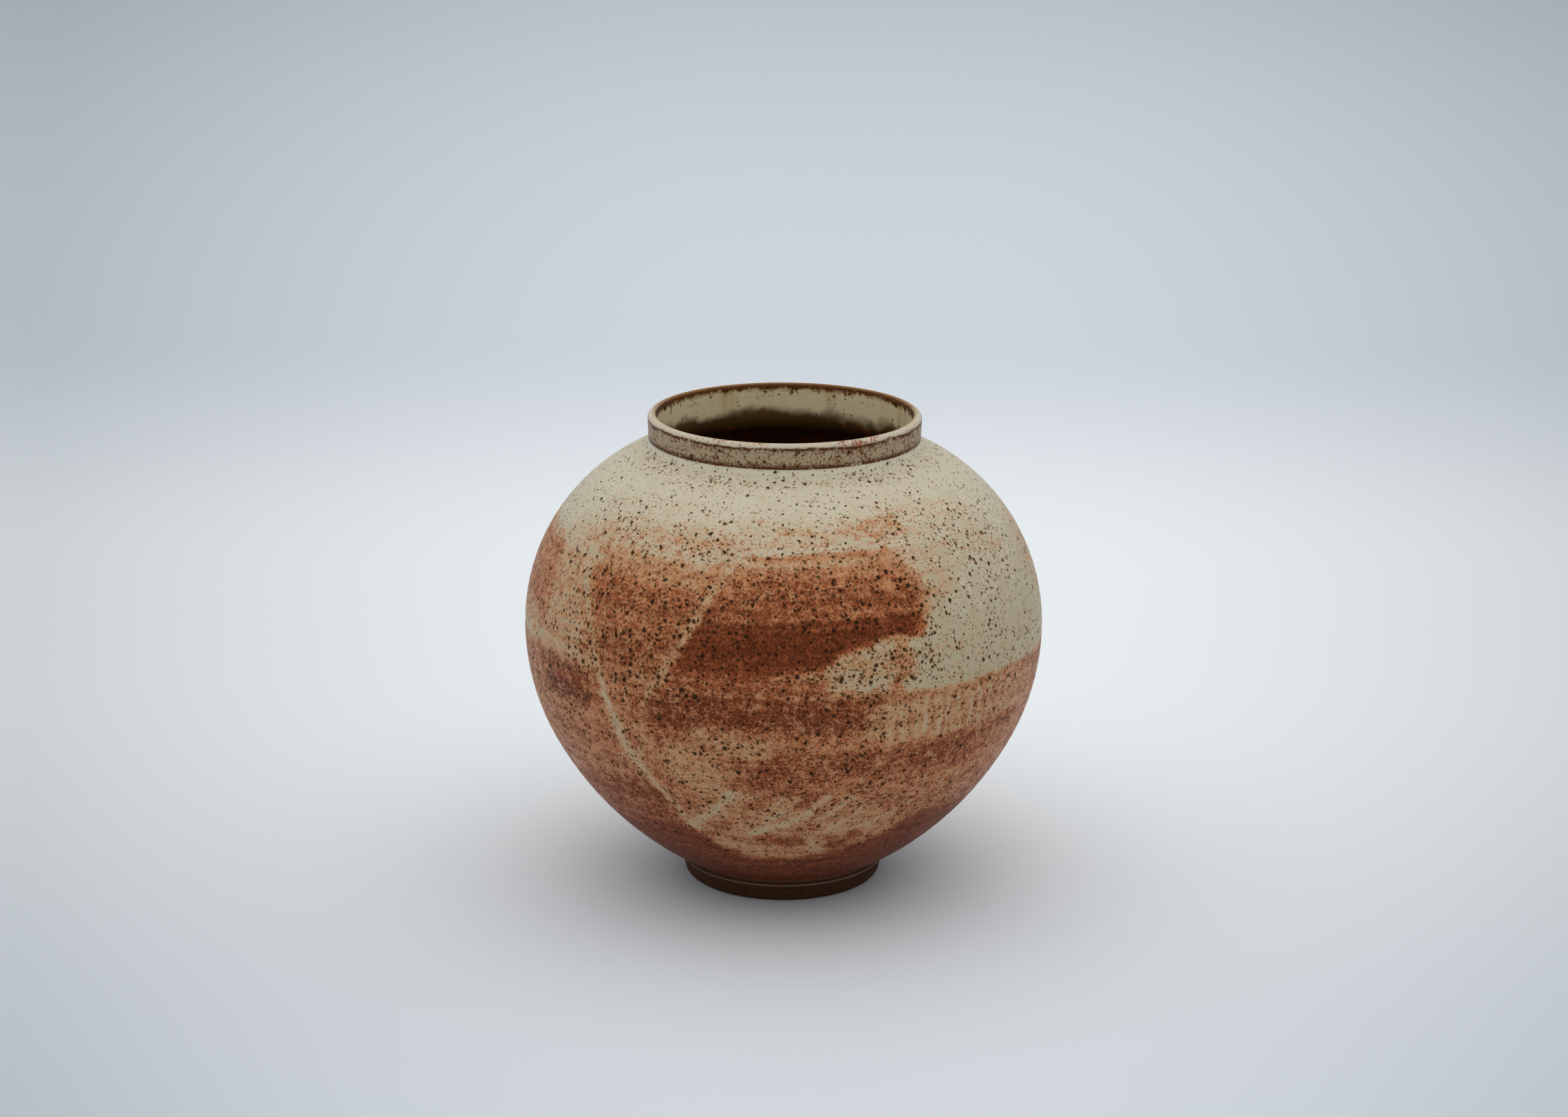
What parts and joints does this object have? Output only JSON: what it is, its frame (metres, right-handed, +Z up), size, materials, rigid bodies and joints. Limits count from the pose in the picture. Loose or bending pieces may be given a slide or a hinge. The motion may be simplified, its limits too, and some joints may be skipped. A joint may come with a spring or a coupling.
{
  "type": "moon jar",
  "caption": "Round stoneware moon jar with a full belly, low upright collar and narrow foot ring, speckled pale glaze with brushed rust wash, made to stand alone as a vase.",
  "frame": {"origin": "centre of the foot ring's standing face, on the table", "axes": "+Z up along the jar's axis of revolution; -Y faces the viewer of the picture, +X to its right"},
  "size_m": [0.2, 0.2, 0.1849],
  "materials": {
    "clay_body": "fired iron-bearing stoneware, matt",
    "slip": "fired joining slip, matt",
    "foot_clay": "bare toasted stoneware, matt, turned",
    "outer_glaze": "satin pale glaze with iron specks and a brushed rust wash",
    "liner_glaze": "dark brown satin liner glaze"
  },
  "bodies": {
    "root": {"lower_bowl": "clay_body", "upper_bowl": "clay_body", "neck_collar": "clay_body", "belly_seam": "slip", "neck_seam": "slip", "foot_seam": "slip", "foot_ring": "foot_clay", "outer_glaze": "outer_glaze", "liner_glaze": "liner_glaze"}
  },
  "joints": []
}
